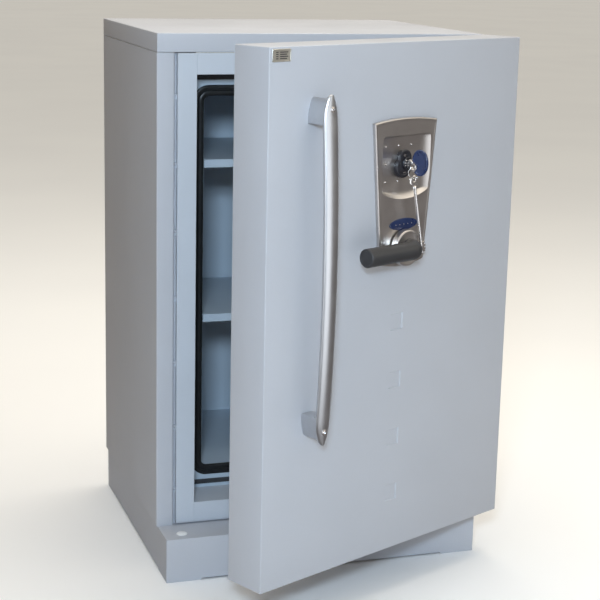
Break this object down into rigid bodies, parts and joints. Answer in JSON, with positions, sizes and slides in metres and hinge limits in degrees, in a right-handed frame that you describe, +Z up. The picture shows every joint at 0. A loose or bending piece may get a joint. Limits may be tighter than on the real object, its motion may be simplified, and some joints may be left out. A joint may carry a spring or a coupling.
{
  "type": "document safe",
  "caption": "Free-standing fire-resistant safe with one thick hinged door, pull bar, lever handle, key lock, shelves and a protruding plinth.",
  "frame": {"origin": "on the floor, at the middle of the plinth and of its four anchor holes", "axes": "+Z up; the front and its door face -Y; the hinges are on the +X side"},
  "size_m": [0.7827, 1.0144, 1.19],
  "materials": {
    "powder_coat": "matte",
    "frame_paint": "matte",
    "liner_paint": "satin",
    "insulation_board": "matte",
    "bare_steel": "satin",
    "seal_rubber": "matte",
    "intumescent": "matte",
    "white_plastic": "satin",
    "escutcheon_satin": "satin",
    "dark_plastic": "satin",
    "grip_plastic": "satin",
    "blue_plastic": "satin",
    "plate_metal": "satin",
    "satin_silver": "satin",
    "bright_metal": "polished"
  },
  "bodies": {
    "cabinet": {"casing": "powder_coat", "top_cover": "powder_coat", "base_pan": "powder_coat", "frame_stiles": "frame_paint", "frame_rails": "frame_paint", "insulation_sides": "insulation_board", "insulation_top": "insulation_board", "insulation_bottom": "insulation_board", "insulation_back": "insulation_board", "frame_insulation": "insulation_board", "bolt_sockets": "bare_steel", "inner_liner": "liner_paint", "liner_gasket": "seal_rubber", "intumescent_strips": "intumescent", "shelf_rails": "bare_steel", "shelf_clips": "bare_steel", "shelf_upper": "liner_paint", "shelf_lower": "liner_paint", "plinth_front": "powder_coat", "plinth_back": "powder_coat", "plinth_sides": "powder_coat", "foot_plates": "bare_steel", "anchor_caps": "white_plastic", "cabinet_hinge_leaves": "powder_coat", "hinge_pins": "bare_steel", "hinge_washers": "bare_steel"},
    "door": {"door_skin": "powder_coat", "door_back_plate": "frame_paint", "door_insulation_front": "insulation_board", "door_insulation_rear": "insulation_board", "plug_frame": "frame_paint", "inner_panel": "frame_paint", "inner_insulation": "insulation_board", "door_hinge_leaves": "powder_coat", "hard_plate": "bare_steel", "lock_case": "bare_steel", "lock_tube": "bare_steel", "spindle_tube": "bare_steel", "bolt_guides": "bare_steel", "escutcheon": "escutcheon_satin", "lock_rosette": "dark_plastic", "oval_badge": "blue_plastic", "name_plate": "plate_metal", "pull_bar": "satin_silver", "pull_posts": "satin_silver", "pull_screws": "bright_metal"},
    "lever": {"lever_hub": "escutcheon_satin", "lever_grip": "grip_plastic", "spindle": "bare_steel", "pinion": "bare_steel"},
    "boltwork": {"bolt_bar": "bare_steel", "locking_bolts": "bare_steel"},
    "key_barrel": {"key_barrel": "bright_metal"},
    "lock_bolt": {"lock_bolt": "bare_steel"},
    "key": {"key_blade": "bright_metal", "key_cap": "blue_plastic"},
    "key_ring": {"key_ring": "bright_metal"},
    "spare_key": {"spare_key": "bright_metal"}
  },
  "joints": [
    {"name": "door_hinge", "type": "hinge", "parent": "cabinet", "child": "door", "pos_m": [0.385, -0.2495, 0.645], "axis": [0, 0, 1], "range_deg": [-25.69, 94.31]},
    {"name": "lever_turn", "type": "hinge", "parent": "door", "child": "lever", "pos_m": [0.08465, -0.49941, 0.771], "axis": [0.4335, -0.9012, 0], "range_deg": [0, 90]},
    {"name": "bolt_slide", "type": "slide", "parent": "door", "child": "boltwork", "axis": [-0.9012, -0.4335, 0], "range_m": [0, 0.02514]},
    {"name": "key_turn", "type": "hinge", "parent": "door", "child": "key_barrel", "pos_m": [0.08465, -0.49941, 0.945], "axis": [0.4335, -0.9012, 0], "range_deg": [0, 90]},
    {"name": "lock_bolt_slide", "type": "slide", "parent": "door", "child": "lock_bolt", "axis": [0, 0, -1], "range_m": [0, 0.01001]},
    {"name": "key_slide", "type": "slide", "parent": "key_barrel", "child": "key", "axis": [0.4335, -0.9012, 0], "range_m": [0, 0.1]},
    {"name": "ring_swing", "type": "hinge", "parent": "key", "child": "key_ring", "pos_m": [0.0983, -0.52779, 0.94], "axis": [-0.9012, -0.4335, 0], "range_deg": [0, 20]},
    {"name": "spare_key_swing", "type": "hinge", "parent": "key_ring", "child": "spare_key", "pos_m": [0.0983, -0.52779, 0.9166], "axis": [0.4335, -0.9012, 0], "range_deg": [0, 40]}
  ],
  "couplings": [
    {"joint": "bolt_slide", "follows": "lever_turn", "m_per_rad": 0.016},
    {"joint": "lock_bolt_slide", "follows": "key_turn", "m_per_rad": 0.0063662}
  ]
}
